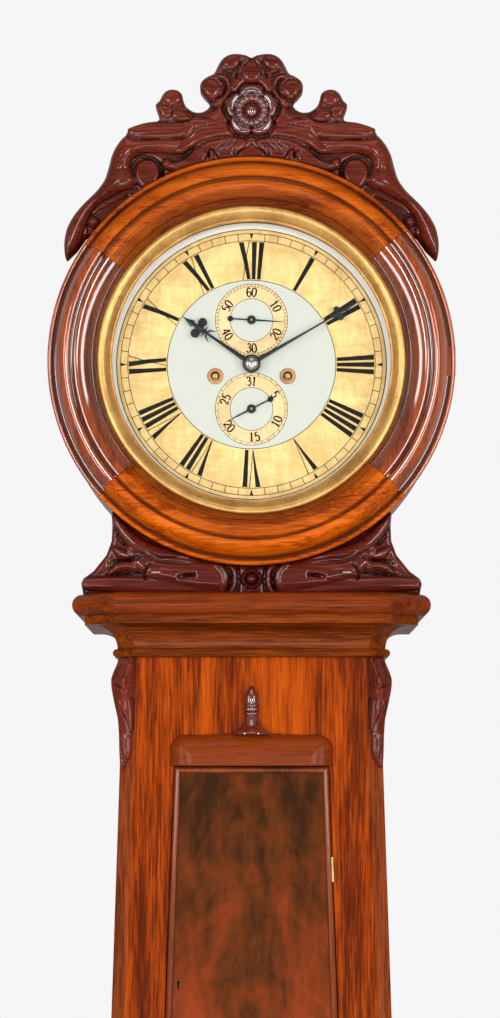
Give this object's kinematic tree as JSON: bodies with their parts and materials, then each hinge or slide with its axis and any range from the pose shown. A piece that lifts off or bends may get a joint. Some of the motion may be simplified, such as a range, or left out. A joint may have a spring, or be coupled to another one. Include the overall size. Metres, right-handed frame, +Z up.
{
  "type": "longcase clock",
  "caption": "Tapering mahogany longcase clock with a round drum hood, hinged glazed door, carved crest and saddle, and a striking pendulum movement.",
  "frame": {"origin": "on the floor, under the middle of the clock's overall width and depth", "axes": "+Z up, -Y the way the dial looks, +X to the right when facing the dial"},
  "size_m": [0.4919, 0.27, 2.0848],
  "materials": {
    "mahogany": "french polished, warm orange-brown ribbon grain",
    "dark_mahogany": "carved and polished, deep red-brown",
    "flame_mahogany": "polished crotch veneer",
    "brass": "polished, slightly tarnished",
    "bell_metal": "turned",
    "blued_steel": "blued and blackened",
    "iron": "cast, painted black",
    "gut": "gut line",
    "painted_dial": "painted iron with a gilded chapter ring",
    "gilding": "gilded slip, rubbed at its inner edge",
    "glass": "clear"
  },
  "bodies": {
    "case": {"plinth_boards": "mahogany", "plinth_panel": "flame_mahogany", "plinth_mouldings": "mahogany", "backboard": "mahogany", "trunk_sides": "mahogany", "trunk_corners": "dark_mahogany", "trunk_front": "mahogany", "trunk_cornice": "mahogany", "corbels": "dark_mahogany", "door_cap": "dark_mahogany", "trunk_hinges": "brass", "seatboard": "mahogany", "front_plate": "brass", "back_plate": "brass", "pillars": "brass", "dial": "painted_dial", "winding_collets": "brass", "movement_brackets": "brass", "bell": "bell_metal", "time_line": "gut", "strike_line": "gut"},
    "trunk_door": {"door_panel": "flame_mahogany", "door_bead": "mahogany", "door_knuckles": "brass", "door_lock": "brass"},
    "lock_bolt": {"lock_bolt": "brass"},
    "hood": {"hood_base": "mahogany", "hood_drum": "mahogany", "drum_frame": "mahogany", "saddle_carving": "dark_mahogany", "crest_carving": "dark_mahogany", "hood_hinge_leaves": "brass"},
    "hood_door": {"hood_door_ring": "mahogany", "gilt_slip": "gilding", "hood_glass": "glass", "hood_door_knuckle": "brass"},
    "minute_arbor": {"centre_wheel": "brass", "minute_hand": "blued_steel"},
    "hour_pipe": {"hour_wheel": "brass", "hour_hand": "blued_steel"},
    "minute_wheel": {"minute_wheel": "brass"},
    "third_arbor": {"third_wheel": "brass"},
    "escape_arbor": {"escape_wheel": "brass", "seconds_hand": "blued_steel"},
    "time_barrel": {"time_barrel": "brass"},
    "date_arbor": {"date_hand": "blued_steel"},
    "strike_barrel": {"strike_barrel": "brass"},
    "pin_arbor": {"pin_wheel": "brass"},
    "gathering_arbor": {"gathering_wheel": "brass"},
    "warning_arbor": {"warning_wheel": "brass"},
    "fly_arbor": {"fly": "brass"},
    "pendulum": {"pendulum_rod": "blued_steel", "pendulum_bob": "brass"},
    "pallets": {"pallets": "blued_steel"},
    "hammer": {"hammer": "blued_steel"},
    "rack": {"rack": "blued_steel"},
    "rack_hook": {"rack_hook": "blued_steel"},
    "lifting_piece": {"lifting_piece": "blued_steel"},
    "time_weight": {"time_weight": "iron"},
    "strike_weight": {"strike_weight": "iron"}
  },
  "joints": [
    {"name": "hood_slide", "type": "slide", "parent": "case", "child": "hood", "axis": [0, -1, 0], "range_m": [0, 0.24]},
    {"name": "hood_door_swing", "type": "hinge", "parent": "hood", "child": "hood_door", "pos_m": [0.2435, -0.083, 1.709], "axis": [0, 0, 1], "range_deg": [0, 110]},
    {"name": "trunk_door_swing", "type": "hinge", "parent": "case", "child": "trunk_door", "pos_m": [0.09803, -0.07425, 1.096], "axis": [-0.0365, 0, 0.9993], "range_deg": [0, 100]},
    {"name": "lock_bolt_throw", "type": "slide", "parent": "trunk_door", "child": "lock_bolt", "axis": [-1, 0, 0], "range_m": [0, 0.006]},
    {"name": "minute_turn", "type": "hinge", "parent": "case", "child": "minute_arbor", "pos_m": [0, 0, 1.709], "axis": [0, 1, 0], "continuous": true},
    {"name": "hour_turn", "type": "hinge", "parent": "case", "child": "hour_pipe", "pos_m": [0, 0, 1.709], "axis": [0, 1, 0], "continuous": true},
    {"name": "minute_wheel_turn", "type": "hinge", "parent": "case", "child": "minute_wheel", "pos_m": [-0.0191, 0, 1.6899], "axis": [0, 1, 0], "continuous": true},
    {"name": "third_turn", "type": "hinge", "parent": "case", "child": "third_arbor", "pos_m": [0.008, 0, 1.736], "axis": [0, 1, 0], "continuous": true},
    {"name": "seconds_turn", "type": "hinge", "parent": "case", "child": "escape_arbor", "pos_m": [0, 0, 1.763], "axis": [0, 1, 0], "continuous": true},
    {"name": "time_barrel_turn", "type": "hinge", "parent": "case", "child": "time_barrel", "pos_m": [0.044, 0, 1.695], "axis": [0, 1, 0], "continuous": true},
    {"name": "date_turn", "type": "hinge", "parent": "case", "child": "date_arbor", "pos_m": [0, 0, 1.655], "axis": [0, 1, 0], "continuous": true},
    {"name": "gathering_turn", "type": "hinge", "parent": "case", "child": "gathering_arbor", "pos_m": [-0.025, 0, 1.7569], "axis": [0, 1, 0], "continuous": true},
    {"name": "strike_barrel_turn", "type": "hinge", "parent": "case", "child": "strike_barrel", "pos_m": [-0.044, 0, 1.695], "axis": [0, 1, 0], "continuous": true},
    {"name": "pin_turn", "type": "hinge", "parent": "case", "child": "pin_arbor", "pos_m": [-0.039, 0, 1.7338], "axis": [0, 1, 0], "continuous": true},
    {"name": "warning_turn", "type": "hinge", "parent": "case", "child": "warning_arbor", "pos_m": [-0.044, 0, 1.7681], "axis": [0, 1, 0], "continuous": true},
    {"name": "fly_turn", "type": "hinge", "parent": "case", "child": "fly_arbor", "pos_m": [-0.033, 0, 1.7818], "axis": [0, 1, 0], "continuous": true},
    {"name": "pendulum_swing", "type": "hinge", "parent": "case", "child": "pendulum", "pos_m": [0, 0, 1.7877], "axis": [0, 1, 0], "range_deg": [-2.5, 2.5]},
    {"name": "pallet_rock", "type": "hinge", "parent": "case", "child": "pallets", "pos_m": [0, 0, 1.7877], "axis": [0, 1, 0], "range_deg": [-2.5, 2.5]},
    {"name": "hammer_lift", "type": "hinge", "parent": "case", "child": "hammer", "pos_m": [-0.052, 0, 1.793], "axis": [0, -1, 0], "range_deg": [0, 12]},
    {"name": "rack_fall", "type": "hinge", "parent": "case", "child": "rack", "pos_m": [-0.058, 0, 1.711], "axis": [0, -1, 0], "range_deg": [0, 14]},
    {"name": "rack_hook_lift", "type": "hinge", "parent": "case", "child": "rack_hook", "pos_m": [0.042, 0, 1.771], "axis": [0, 1, 0], "range_deg": [0, 4]},
    {"name": "lifting_piece_lift", "type": "hinge", "parent": "case", "child": "lifting_piece", "pos_m": [-0.058, 0, 1.669], "axis": [0, -1, 0], "range_deg": [0, 7]},
    {"name": "time_weight_drop", "type": "slide", "parent": "case", "child": "time_weight", "axis": [0, 0, -1], "range_m": [-0.2, 0.85], "deforming": ["time_line"]},
    {"name": "strike_weight_drop", "type": "slide", "parent": "case", "child": "strike_weight", "axis": [0, 0, -1], "range_m": [-0.2, 0.85], "deforming": ["strike_line"]}
  ],
  "couplings": [
    {"joint": "hour_turn", "follows": "minute_turn", "ratio": 0.083333},
    {"joint": "minute_wheel_turn", "follows": "minute_turn", "ratio": -1},
    {"joint": "third_turn", "follows": "minute_turn", "ratio": -7.5},
    {"joint": "seconds_turn", "follows": "minute_turn", "ratio": 60},
    {"joint": "time_barrel_turn", "follows": "minute_turn", "ratio": -0.083333},
    {"joint": "strike_barrel_turn", "follows": "gathering_turn", "ratio": 0.011905},
    {"joint": "pin_turn", "follows": "gathering_turn", "ratio": -0.125},
    {"joint": "warning_turn", "follows": "gathering_turn", "ratio": -8},
    {"joint": "fly_turn", "follows": "gathering_turn", "ratio": 64},
    {"joint": "pallet_rock", "follows": "pendulum_swing", "ratio": 1}
  ]
}
